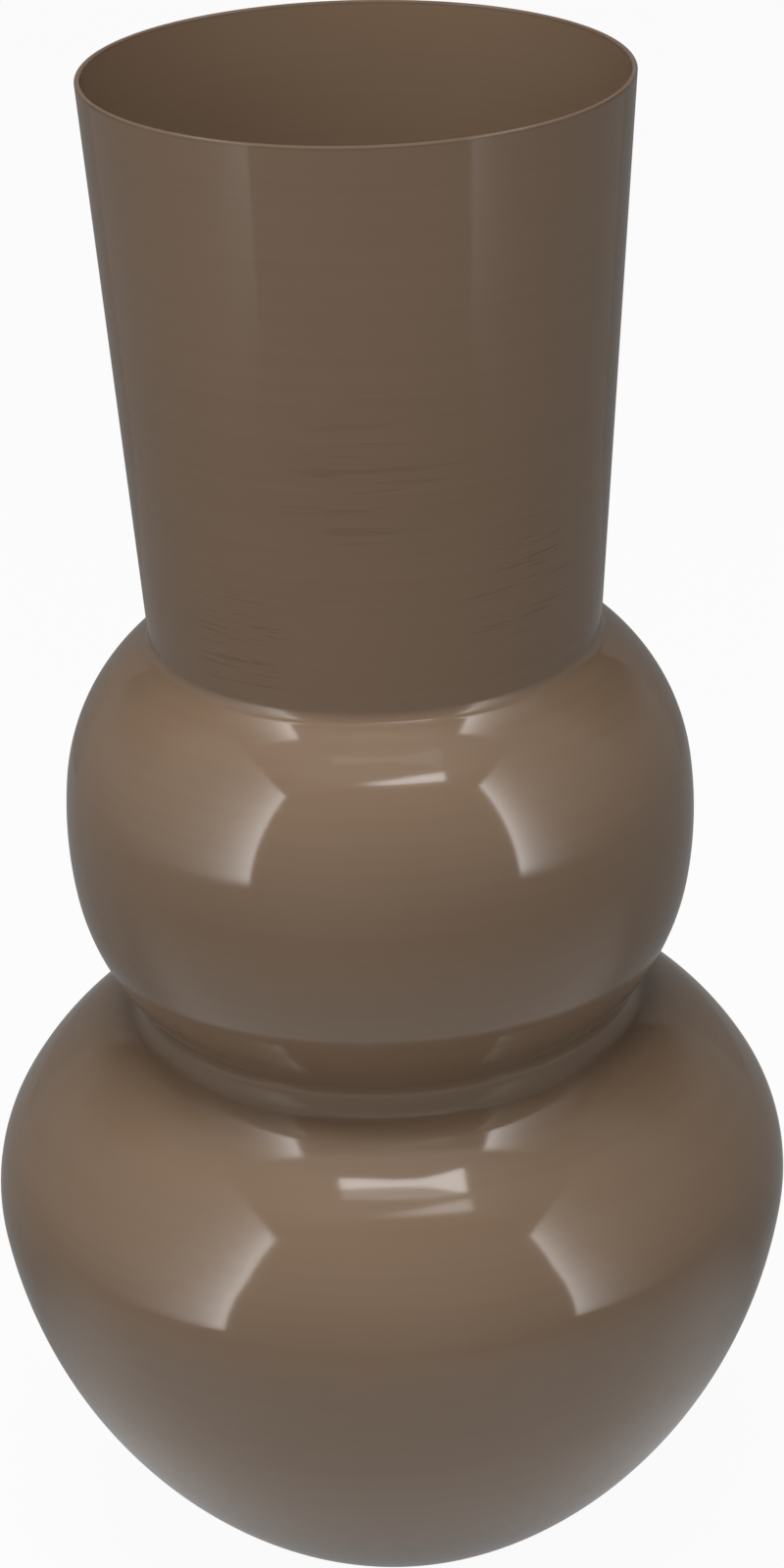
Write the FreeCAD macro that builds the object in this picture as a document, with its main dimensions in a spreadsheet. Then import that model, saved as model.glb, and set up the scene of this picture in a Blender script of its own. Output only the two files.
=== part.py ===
"""A double gourd vase of spun, joined and lacquered sheet metal.

A tapered neck stands on a round upper bulb, which stands on a larger lower bulb with a flat bottom.
Each bulb is two half shells that lap at its widest line, and the neck laps inside a collar that is
turned up from the upper bulb. The outside is flush there. Lengths are in millimetres, angles in degrees.
The origin is on the vase's axis, at the surface that it stands on, with +Z up.
"""

import FreeCAD, Part
import math
import os

import Sketcher

# Driving dimensions: alias, value, what it is
SIZES = [
    ("wall", 1.3, "sheet metal with its lacquer, everywhere"),
    ("braze_gap", 0.1, "gap that the filler is drawn into, between brazed shells"),
    ("film", 0.02, "skin between a ring of filler and the shells that it wets"),
    ("rim_radius", 63.0, "outside of the rim"),
    ("neck_radius", 53.8, "outside, where the neck's side would meet the upper bulb's shoulder"),
    ("neck_length", 136.0, "from the rim down to there"),
    ("neck_fillet", 6.0, "hollow radius at the root of the upper bulb's collar"),
    ("neck_collar", 7.0, "straight height of that collar"),
    ("upper_radius", 76.0, "widest line of the upper bulb"),
    ("upper_side", 100.0, "arc radius of its side"),
    ("upper_rise_angle", 7.0, "turn of the side arc above the widest line"),
    ("upper_fall_angle", 9.0, "turn of the side arc below it"),
    ("upper_crown_angle", 55.7, "turn of the shoulder at the neck"),
    ("upper_base_angle", 47.4, "turn of the underside at the waist"),
    ("waist_radius", 57.6, "outside of the collar between the bulbs"),
    ("waist_collar", 6.0, "height of that collar"),
    ("waist_seat", 0.6, "gap from the lower shoulder to the upper bulb's edge"),
    ("waist_fillet", 5.5, "radius of the filler round the waist"),
    ("lower_radius", 98.8, "widest line of the lower bulb"),
    ("lower_side", 42.0, "arc radius of its side"),
    ("lower_rise_angle", 30.0, "turn of the side arc above the widest line"),
    ("lower_fall_angle", 8.0, "turn of the side arc below it"),
    ("lower_crown_angle", 68.1, "turn of the shoulder at the waist"),
    ("lower_lift", 95.0, "widest line above the flat bottom"),
    ("bottom_radius", 39.2, "edge of the flat bottom"),
    ("bottom_corner", 5.0, "radius between the bowl and the flat bottom"),
    ("lap_length", 5.0, "overlap of two shells"),
    ("joggle_length", 3.0, "length of the step from a shell to its lap"),
    ("solder_radius", 0.6, "radius of the ring of solder in a lap"),
    ("pad_radius", 7.0, "felt pad"),
    ("pad_height", 1.5, "felt pad"),
    ("pad_inset", 5.0, "from a pad's edge to the edge of the flat bottom"),
    ("pad_count", 4, "felt pads under the bottom"),
]

WALL = "Sizes.wall"
NO_INSET = "0"
# A lap lies inside the other shell and clears it by the gap for the filler
LAP_OUTSIDE = "(Sizes.wall + Sizes.braze_gap)"
LAP_INSIDE = "(2 * Sizes.wall + Sizes.braze_gap)"
# A ring of filler keeps off the shells by its film
FILM_OUT = "(-Sizes.film)"

# Sketcher's numbers for an edge's two end points, and for the axes across and up
FIRST, LAST = 1, 2
ORIGIN, UPRIGHT = -1, -2


def build_sheet(doc, name, rows):
    """Write one alias per row, holding a plain number or a formula."""
    sheet = doc.addObject("Spreadsheet::Sheet", name)
    for row, (alias, text, note) in enumerate(rows, start=1):
        sheet.set(f"A{row}", alias)
        sheet.set(f"B{row}", str(text))
        sheet.set(f"C{row}", note)
        sheet.setAlias(f"B{row}", alias)
    doc.recompute()
    return sheet


def side_end(bulb, turn):
    """How far from the axis a bulb's side arc ends, after its turn from the widest line."""
    return f"(Sizes.{bulb}_radius - Sizes.{bulb}_side * (1 - cos({turn})))"


def closing_arc(bulb, opening, first, last):
    """The radius of the arc that closes a bulb in to an opening, from its first to its last turn."""
    return f"=({side_end(bulb, first)} - {opening}) / (cos({first}) - cos({last}))"


def bulb_rows(bulb, widest):
    """The arc centres of one bulb's outline, from the height of its widest line."""
    side = f"Sizes.{bulb}_side"
    top = f"({side} - {bulb}_top_arc)"
    under = f"({side} - {bulb}_under_arc)"
    rise = f"Sizes.{bulb}_rise_angle"
    fall = f"Sizes.{bulb}_fall_angle"
    return [
        (f"{bulb}_side_arc", f"={side}", "radius of the side arc"),
        (f"{bulb}_side_x", f"=Sizes.{bulb}_radius - {side}", "its centre"),
        (f"{bulb}_side_z", widest, "widest line"),
        (f"{bulb}_top_x", f"={bulb}_side_x + {top} * cos({rise})", "centre of the shoulder arc"),
        (f"{bulb}_top_z", f"={bulb}_side_z + {top} * sin({rise})", "its height"),
        (f"{bulb}_under_x", f"={bulb}_side_x + {under} * cos({fall})", "centre of the underside arc"),
        (f"{bulb}_under_z", f"={bulb}_side_z - {under} * sin({fall})", "its height"),
        (f"{bulb}_lap", f"=Sizes.lap_length / {side} * 180 / pi", "angle that the lap takes"),
        (f"{bulb}_step", f"=Sizes.joggle_length / {side} * 180 / pi", "angle that the joggle takes"),
    ]


def lower_rows():
    """The lower bulb: its bowl runs from the side arc into the corner round the flat bottom."""
    fall = "Sizes.lower_fall_angle"
    far = f"({side_end('lower', fall)} - corner_x)"
    high = f"(Sizes.lower_lift - Sizes.lower_side * sin({fall}) - Sizes.bottom_corner)"
    lean = f"({far} * cos({fall}) - {high} * sin({fall}) - Sizes.bottom_corner)"
    bowl = f"=({far} ^ 2 + {high} ^ 2 - Sizes.bottom_corner ^ 2) / (2 * {lean})"
    shoulder = closing_arc("lower", "seat_x", "Sizes.lower_rise_angle", "Sizes.lower_crown_angle")
    rows = [
        ("bottom_z", "=Sizes.pad_height", "flat bottom"),
        ("corner_x", "=Sizes.bottom_radius", "centre of the bottom's corner"),
        ("corner_z", "=bottom_z + Sizes.bottom_corner", "its height"),
        ("pad_x", "=corner_x - Sizes.pad_inset - Sizes.pad_radius", "centres of the felt pads"),
        ("seat_x", "=Sizes.waist_radius + Sizes.braze_gap", "opening of the upper bulb's underside"),
        ("lower_top_arc", shoulder, "radius of the shoulder arc"),
        ("lower_under_arc", bowl, "radius of the bowl's arc"),
    ]
    rows += bulb_rows("lower", "=bottom_z + Sizes.lower_lift")
    seat = "=lower_top_z + lower_top_arc * sin(Sizes.lower_crown_angle)"
    return rows + [("seat_z", seat, "shoulder at that opening")]


def upper_rows():
    """The upper bulb, seated on the lower one, and the neck in its shoulder."""
    crown = "Sizes.upper_crown_angle"
    fall = "Sizes.upper_fall_angle"
    base = "Sizes.upper_base_angle"
    widest = (
        "=seat_z + Sizes.waist_seat"
        f" + upper_under_arc * sin({base}) + (Sizes.upper_side - upper_under_arc) * sin({fall})"
    )
    lean = "=atan((Sizes.rim_radius - Sizes.neck_radius) / (Sizes.neck_length - Sizes.wall / 2))"
    shoulder = closing_arc("upper", "Sizes.neck_radius", "Sizes.upper_rise_angle", crown)
    rows = [
        ("upper_top_arc", shoulder, "radius of the shoulder arc"),
        ("upper_under_arc", closing_arc("upper", "seat_x", fall, base), "radius of the underside arc"),
    ]
    rows += bulb_rows("upper", widest)
    return rows + [
        ("neck_z", f"=upper_top_z + upper_top_arc * sin({crown})", "where the neck's side meets it"),
        ("rim_z", "=neck_z + Sizes.neck_length", "top of the rim"),
        ("bead_x", "=Sizes.rim_radius - Sizes.wall / 2", "centre of the rim's rounding"),
        ("bead_z", "=rim_z - Sizes.wall / 2", "its height"),
        ("taper", lean, "lean of the neck's side"),
    ]


def neck_fillet_rows():
    """The hollow at the collar's root, which rolls on the neck's side and on the shoulder arc."""
    reach = "(upper_top_arc + Sizes.neck_fillet)"
    along = "(roll_x * sin(taper) + roll_z * cos(taper))"
    return [
        ("roll_x", "=Sizes.neck_radius + Sizes.neck_fillet * cos(taper) - upper_top_x", "at the corner"),
        ("roll_z", "=neck_z - Sizes.neck_fillet * sin(taper) - upper_top_z", "at the corner"),
        (
            "climb",
            f"=sqrt({along} ^ 2 - roll_x ^ 2 - roll_z ^ 2 + {reach} ^ 2) - {along}",
            "from the corner up the neck's side to the hollow's end",
        ),
        ("seam", "=climb + Sizes.neck_collar", "from the corner up to the collar's top edge"),
        ("neck_hollow_x", "=upper_top_x + roll_x + climb * sin(taper)", "centre of the hollow"),
        ("neck_hollow_z", "=upper_top_z + roll_z + climb * cos(taper)", "its height"),
    ]


def waist_fillet_rows():
    """Centre of the filler's hollow, which rolls on the lower shoulder and the upper underside."""
    low = "(lower_top_arc + Sizes.waist_fillet)"
    high = "(upper_under_arc + Sizes.waist_fillet)"
    return [
        ("across", "=upper_under_x - lower_top_x", "from one arc centre to the other"),
        ("upward", "=upper_under_z - lower_top_z", "the same, in height"),
        ("apart", "=sqrt(across ^ 2 + upward ^ 2)", "the same, in length"),
        ("foot", f"=({low} ^ 2 - {high} ^ 2 + apart ^ 2) / (2 * apart)", "along that line"),
        ("stand", f"=sqrt({low} ^ 2 - foot ^ 2)", "off that line"),
        ("waist_hollow_x", "=lower_top_x + (foot * across + stand * upward) / apart", "centre of the hollow"),
        ("waist_hollow_z", "=lower_top_z + (foot * upward - stand * across) / apart", "its height"),
    ]


def arc_place(bulb, arc, inset, angle):
    """A point on one of a bulb's arcs, inset from its outside, at an angle above the horizontal."""
    radius = f"(Places.{bulb}_{arc}_arc - {inset})"
    return (
        f"Places.{bulb}_{arc}_x + {radius} * cos({angle})",
        f"Places.{bulb}_{arc}_z + {radius} * sin({angle})",
    )


def arc_height(bulb, arc, inset, across, sign):
    """The height of one of a bulb's arcs at a distance from the axis: sign is + or -."""
    radius = f"(Places.{bulb}_{arc}_arc - {inset})"
    centre = f"Places.{bulb}_{arc}"
    return f"{centre}_z {sign} sqrt({radius} ^ 2 - ({across} - {centre}_x) ^ 2)"


def arc_facing(bulb, arc, inset, target):
    """The point on one of a bulb's arcs that faces the centre of a hollow or a corner."""
    radius = f"(Places.{bulb}_{arc}_arc - {inset})"
    centre = f"Places.{bulb}_{arc}"
    gap_x = f"({target}_x - {centre}_x)"
    gap_z = f"({target}_z - {centre}_z)"
    reach = f"sqrt({gap_x} ^ 2 + {gap_z} ^ 2)"
    return (
        f"{centre}_x + {gap_x} * {radius} / {reach}",
        f"{centre}_z + {gap_z} * {radius} / {reach}",
    )


def neck_place(along, inset):
    """A point inset from the neck's side, at a distance up it from its corner with the shoulder."""
    return (
        f"Sizes.neck_radius + {along} * sin(Places.taper) - {inset} * cos(Places.taper)",
        f"Places.neck_z + {along} * cos(Places.taper) + {inset} * sin(Places.taper)",
    )


class Outline:
    """A closed outline of straight lines and arcs, whose corners are expressions on the sheets."""

    def __init__(self, across, height):
        self.corners = [(across, height)]
        self.bends = []

    def line(self, across, height):
        self.corners.append((across, height))
        self.bends.append(None)

    def arc(self, end, centre, radius):
        """An arc of under a half turn to end, about the alias pair centre_x and centre_z."""
        self.corners.append(end)
        self.bends.append((centre, radius))

    def bulb_arc(self, end, bulb, arc, inset):
        self.arc(end, f"Places.{bulb}_{arc}", f"Places.{bulb}_{arc}_arc - {inset}")


def measure(sheet, text):
    """The value of an expression, in millimetres or degrees."""
    value = sheet.evalExpression(text)
    return float(getattr(value, "Value", value))


def draw_edge(sketch, sheet, start, end, bend):
    """Add one edge, and return it with the numbers of its start and its end point."""
    if bend is None:
        return sketch.addGeometry(Part.LineSegment(start, end), False), FIRST, LAST
    centre, radius = bend
    middle = FreeCAD.Vector(measure(sheet, f"{centre}_x"), measure(sheet, f"{centre}_z"), 0)
    first = math.atan2(start.y - middle.y, start.x - middle.x)
    last = math.atan2(end.y - middle.y, end.x - middle.x)
    turn = (last - first) % (2 * math.pi)
    clockwise = turn > math.pi
    if clockwise:
        first, last = last, first
    circle = Part.Circle(middle, FreeCAD.Vector(0, 0, 1), measure(sheet, radius))
    edge = sketch.addGeometry(Part.ArcOfCircle(circle, first, last), False)
    bound = sketch.addConstraint(Sketcher.Constraint("Radius", edge, circle.Radius))
    sketch.setExpression(f"Constraints[{bound}]", radius)
    return (edge, LAST, FIRST) if clockwise else (edge, FIRST, LAST)


def pin_corner(sketch, sheet, edge, end, corner):
    """Tie one corner's two coordinates to their expressions."""
    for kind, text, axis in (("DistanceX", corner[0], UPRIGHT), ("DistanceY", corner[1], ORIGIN)):
        value = measure(sheet, text)
        if text == "0":
            sketch.addConstraint(Sketcher.Constraint("PointOnObject", edge, end, axis))
            continue
        bound = sketch.addConstraint(Sketcher.Constraint(kind, ORIGIN, FIRST, edge, end, value))
        sketch.setExpression(f"Constraints[{bound}]", text)


def spin(doc, sheet, label, outline):
    """Turn a closed outline round the vase's axis, as a body with one sketch and one revolution."""
    body = doc.addObject("PartDesign::Body", label)
    body.Label = label
    sketch = body.newObject("Sketcher::SketchObject", f"{label}_outline")
    planes = {feature.Role: feature for feature in body.Origin.OriginFeatures}
    sketch.AttachmentSupport = [(planes["XZ_Plane"], "")]
    sketch.MapMode = "FlatFace"
    corners = outline.corners[:-1]
    places = [FreeCAD.Vector(measure(sheet, x), measure(sheet, z), 0) for x, z in corners]
    edges = []
    for start, end, bend in zip(places, places[1:] + places[:1], outline.bends):
        edges.append(draw_edge(sketch, sheet, start, end, bend))
    for corner, (before, _, end), (edge, start, _) in zip(corners, edges[-1:] + edges, edges):
        sketch.addConstraint(Sketcher.Constraint("Coincident", before, end, edge, start))
        pin_corner(sketch, sheet, edge, start, corner)
    doc.recompute()
    turned = body.newObject("PartDesign::Revolution", f"{label}_turned")
    turned.Profile = sketch
    turned.ReferenceAxis = (sketch, ["V_Axis"])
    turned.Angle = 360
    doc.recompute()
    return body


def neck_outline():
    """A tapered tube with a full-round rim, joggled at its foot to lap inside the collar."""
    rim = "Sizes.rim_radius"
    shoulder = "Places.rim_z - Sizes.wall / 2"
    lap = "(Places.seam - Sizes.lap_length)"
    step = "(Places.seam + Sizes.joggle_length)"
    inside = "(Places.seam + 2 * Sizes.joggle_length)"
    outline = Outline(*neck_place("Places.seam", NO_INSET))
    outline.line(rim, shoulder)
    outline.arc((f"{rim} - Sizes.wall / 2", "Places.rim_z"), "Places.bead", "Sizes.wall / 2")
    outline.arc((f"{rim} - Sizes.wall", shoulder), "Places.bead", "Sizes.wall / 2")
    outline.line(*neck_place(inside, WALL))
    outline.line(*neck_place(step, LAP_INSIDE))
    outline.line(*neck_place(lap, LAP_INSIDE))
    outline.line(*neck_place(lap, LAP_OUTSIDE))
    outline.line(*neck_place("Places.seam", LAP_OUTSIDE))
    outline.line(*neck_place("Places.seam", NO_INSET))
    return outline


def add_lap(outline, bulb):
    """The joggled edge of a shoulder, from its inside round to its widest line."""
    step = f"Places.{bulb}_step"
    lap = f"(-Places.{bulb}_lap)"
    outline.bulb_arc(arc_place(bulb, "side", WALL, f"(2 * {step})"), bulb, "side", WALL)
    outline.line(*arc_place(bulb, "side", LAP_INSIDE, step))
    outline.bulb_arc(arc_place(bulb, "side", LAP_INSIDE, lap), bulb, "side", LAP_INSIDE)
    outline.line(*arc_place(bulb, "side", LAP_OUTSIDE, lap))
    outline.bulb_arc(arc_place(bulb, "side", LAP_OUTSIDE, "0"), bulb, "side", LAP_OUTSIDE)
    outline.line(*arc_place(bulb, "side", NO_INSET, "0"))


def start_shoulder(bulb):
    """The outside of a shoulder's side arc, from the widest line up."""
    outline = Outline(*arc_place(bulb, "side", NO_INSET, "0"))
    rise = f"Sizes.{bulb}_rise_angle"
    outline.bulb_arc(arc_place(bulb, "side", NO_INSET, rise), bulb, "side", NO_INSET)
    return outline


def upper_shoulder_outline():
    """The upper bulb's upper half, with a collar turned up for the neck."""
    outline = start_shoulder("upper")
    root = arc_facing("upper", "top", NO_INSET, "Places.neck_hollow")
    inner_root = arc_facing("upper", "top", WALL, "Places.neck_hollow")
    outline.bulb_arc(root, "upper", "top", NO_INSET)
    outline.arc(neck_place("Places.climb", NO_INSET), "Places.neck_hollow", "Sizes.neck_fillet")
    outline.line(*neck_place("Places.seam", NO_INSET))
    outline.line(*neck_place("Places.seam", WALL))
    outline.line(*neck_place("Places.climb", WALL))
    outline.arc(inner_root, "Places.neck_hollow", "Sizes.neck_fillet + Sizes.wall")
    outline.bulb_arc(arc_place("upper", "side", WALL, "Sizes.upper_rise_angle"), "upper", "top", WALL)
    add_lap(outline, "upper")
    return outline


def upper_underside_outline():
    """The upper bulb's lower half, open at the waist."""
    seat = "Places.seat_x"
    outline = Outline(*arc_place("upper", "side", NO_INSET, "0"))
    fall = "(-Sizes.upper_fall_angle)"
    outline.bulb_arc(arc_place("upper", "side", NO_INSET, fall), "upper", "side", NO_INSET)
    outer = arc_height("upper", "under", NO_INSET, seat, "-")
    inner = arc_height("upper", "under", WALL, seat, "-")
    outline.bulb_arc((seat, outer), "upper", "under", NO_INSET)
    outline.line(seat, inner)
    outline.bulb_arc(arc_place("upper", "side", WALL, fall), "upper", "under", WALL)
    outline.bulb_arc(arc_place("upper", "side", WALL, "0"), "upper", "side", WALL)
    outline.line(*arc_place("upper", "side", NO_INSET, "0"))
    return outline


def waist_braze_outline():
    """A hollow fillet between the lower bulb's shoulder and the upper bulb's underside."""
    seat = "Places.seat_x"
    low = (seat, arc_height("lower", "top", FILM_OUT, seat, "+"))
    high = (seat, arc_height("upper", "under", FILM_OUT, seat, "-"))
    outline = Outline(*low)
    outline.line(*high)
    above = arc_facing("upper", "under", FILM_OUT, "Places.waist_hollow")
    below = arc_facing("lower", "top", FILM_OUT, "Places.waist_hollow")
    outline.bulb_arc(above, "upper", "under", FILM_OUT)
    outline.arc(below, "Places.waist_hollow", "Sizes.waist_fillet - Sizes.film")
    outline.bulb_arc(low, "lower", "top", FILM_OUT)
    return outline


def lower_shoulder_outline():
    """The lower bulb's upper half, with a collar turned up inside the upper bulb."""
    collar = "Sizes.waist_radius"
    bore = "Sizes.waist_radius - Sizes.wall"
    root = arc_height("lower", "top", NO_INSET, collar, "+")
    lip = f"{root} + Sizes.waist_collar"
    outline = start_shoulder("lower")
    outline.bulb_arc((collar, root), "lower", "top", NO_INSET)
    outline.line(collar, lip)
    outline.line(bore, lip)
    outline.line(bore, arc_height("lower", "top", WALL, f"({bore})", "+"))
    outline.bulb_arc(arc_place("lower", "side", WALL, "Sizes.lower_rise_angle"), "lower", "top", WALL)
    add_lap(outline, "lower")
    return outline


def lower_bowl_outline():
    """The lower bulb's lower half, spun in one with its flat bottom."""
    outline = Outline(*arc_place("lower", "side", NO_INSET, "0"))
    fall = "(-Sizes.lower_fall_angle)"
    outline.bulb_arc(arc_place("lower", "side", NO_INSET, fall), "lower", "side", NO_INSET)
    outline.bulb_arc(arc_facing("lower", "under", NO_INSET, "Places.corner"), "lower", "under", NO_INSET)
    outline.arc(("Places.corner_x", "Places.bottom_z"), "Places.corner", "Sizes.bottom_corner")
    outline.line("0", "Places.bottom_z")
    outline.line("0", "Places.bottom_z + Sizes.wall")
    outline.line("Places.corner_x", "Places.bottom_z + Sizes.wall")
    inside = arc_facing("lower", "under", WALL, "Places.corner")
    outline.arc(inside, "Places.corner", "Sizes.bottom_corner - Sizes.wall")
    outline.bulb_arc(arc_place("lower", "side", WALL, fall), "lower", "under", WALL)
    outline.bulb_arc(arc_place("lower", "side", WALL, "0"), "lower", "side", WALL)
    outline.line(*arc_place("lower", "side", NO_INSET, "0"))
    return outline


def solder_ring(doc, label, place):
    """A ring of solder in the corner under a lap."""
    across, height = place
    ring = doc.addObject("Part::Torus", label)
    ring.Label = label
    ring.setExpression("Radius1", across)
    ring.setExpression("Radius2", "Sizes.solder_radius")
    ring.setExpression("Placement.Base.z", height)
    return ring


def solder_rings(doc):
    """The rings of solder under the neck's lap and under each bulb's."""
    clear = "(Sizes.film + Sizes.solder_radius)"
    inset = f"(Sizes.wall + {clear})"
    neck = neck_place(f"(Places.seam - Sizes.lap_length - {clear})", inset)
    rings = [solder_ring(doc, "neck_seam_solder", neck)]
    for bulb in ("upper", "lower"):
        below = f"{clear} / (Places.{bulb}_side_arc - {inset}) * 180 / pi"
        place = arc_place(bulb, "side", inset, f"(-Places.{bulb}_lap - {below})")
        rings.append(solder_ring(doc, f"{bulb}_seam_solder", place))
    return rings


def felt_pads(doc, count):
    """The felt pads, evenly spaced on a circle under the flat bottom."""
    pads = []
    for index in range(count):
        pad = doc.addObject("Part::Cylinder", f"felt_pad_{index + 1}")
        turn = f"(360 * ({index} + 0.5) / Sizes.pad_count)"
        pad.setExpression("Radius", "Sizes.pad_radius")
        pad.setExpression("Height", "Sizes.pad_height")
        pad.setExpression("Placement.Base.x", f"Places.pad_x * cos({turn})")
        pad.setExpression("Placement.Base.y", f"Places.pad_x * sin({turn})")
        pads.append(pad)
    group = doc.addObject("Part::Compound", "felt_pads")
    group.Label = "felt_pads"
    group.Links = pads
    return group


def check(doc, pieces):
    """Stop if an object failed to recompute, or if a piece is empty or broken."""
    for item in doc.Objects:
        if {"Invalid", "Error"} & set(item.State):
            raise RuntimeError(f"{item.Label} did not recompute: {item.State}")
    for piece in pieces:
        if piece.Shape.isNull() or not piece.Shape.isValid():
            raise RuntimeError(f"{piece.Label} has no valid shape")


def main():
    doc = FreeCAD.newDocument("double_gourd_vase")
    sizes = build_sheet(doc, "Sizes", SIZES)
    rows = lower_rows() + upper_rows() + neck_fillet_rows() + waist_fillet_rows()
    places = build_sheet(doc, "Places", rows)
    outlines = {
        "neck": neck_outline(),
        "upper_bulb_shoulder": upper_shoulder_outline(),
        "upper_bulb_underside": upper_underside_outline(),
        "waist_braze": waist_braze_outline(),
        "lower_bulb_shoulder": lower_shoulder_outline(),
        "lower_bulb_bowl": lower_bowl_outline(),
    }
    pieces = [spin(doc, places, label, outline) for label, outline in outlines.items()]
    pieces += solder_rings(doc)
    pieces.append(felt_pads(doc, int(sizes.pad_count)))
    doc.recompute()
    check(doc, pieces)
    os.makedirs("parts", exist_ok=True)
    for piece in pieces:
        piece.Shape.exportStep(f"parts/{piece.Label}.step")
        box = piece.Shape.BoundBox
        print(f"{piece.Label}: {len(piece.Shape.Solids)} solid, {piece.Shape.Volume:.0f} mm3, "
              f"radius {box.XMax:.2f}, height {box.ZMin:.2f} to {box.ZMax:.2f}")


main()
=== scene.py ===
"""Blender scene of a glossy lacquered double gourd vase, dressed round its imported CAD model.

Every shell is turned from the CAD model's own arcs, in millimetres, as a closed mesh with exact
normals, so that reflections run across the joints without a break. Only the hollow at the neck's root
is tighter, and the collar above it longer by as much. The vase stands in a white photo tent: lit side
walls and ceiling, light bars over its open front, and a pale floor.
"""

from __future__ import annotations

import logging
import math
from collections.abc import Callable, Sequence
from dataclasses import dataclass, field
from enum import Enum

import bpy
from mathutils import Matrix, Vector, noise


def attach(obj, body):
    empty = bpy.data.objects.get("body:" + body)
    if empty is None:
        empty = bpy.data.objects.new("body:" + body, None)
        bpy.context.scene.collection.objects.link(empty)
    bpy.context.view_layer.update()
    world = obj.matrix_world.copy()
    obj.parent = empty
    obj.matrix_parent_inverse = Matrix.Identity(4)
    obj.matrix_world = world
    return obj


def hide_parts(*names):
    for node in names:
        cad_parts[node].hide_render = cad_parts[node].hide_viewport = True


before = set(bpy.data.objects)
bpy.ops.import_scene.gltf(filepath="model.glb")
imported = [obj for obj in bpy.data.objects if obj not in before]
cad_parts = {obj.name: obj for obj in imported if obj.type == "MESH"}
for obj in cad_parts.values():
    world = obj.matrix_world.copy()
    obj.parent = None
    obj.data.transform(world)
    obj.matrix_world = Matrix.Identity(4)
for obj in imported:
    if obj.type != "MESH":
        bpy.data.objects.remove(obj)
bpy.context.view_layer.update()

LOG = logging.getLogger("vase")
BODY = "root"
MM = 0.001
FULL_TURN = 2 * math.pi
ON_AXIS = 1e-6
WHITE = (1.0, 1.0, 1.0, 1.0)

Point = tuple[float, float]
Colour = tuple[float, float, float]


class Slot(Enum):
    """The record's material slots that new pieces take."""

    LACQUER = "lacquer"
    FELT = "felt"


class Zone(Enum):
    """The vase's three forms, each of which mirrors its own part of the tent."""

    LOWER = "lower"
    UPPER = "upper"
    NECK = "neck"


# Shader maths


class Socket:
    """A shader output that takes part in Python expressions."""

    def __init__(self, bench: NodeBench, output: bpy.types.NodeSocket | None) -> None:
        """Keep the output and the bench that its node stands on."""
        self.bench = bench
        self.output = output

    def __add__(self, other: Socket | float) -> Socket:
        """Sum."""
        return self.bench.maths("ADD", self, other)

    def __sub__(self, other: Socket | float) -> Socket:
        """Difference."""
        return self.bench.maths("SUBTRACT", self, other)

    def __rsub__(self, other: float) -> Socket:
        """Difference from a number."""
        return self.bench.maths("SUBTRACT", other, self)

    def __mul__(self, other: Socket | float) -> Socket:
        """Product."""
        return self.bench.maths("MULTIPLY", self, other)

    def __rpow__(self, other: float) -> Socket:
        """A number to the power of this value."""
        return self.bench.maths("POWER", other, self)

    __radd__ = __add__


Input = Socket | float | tuple


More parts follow.
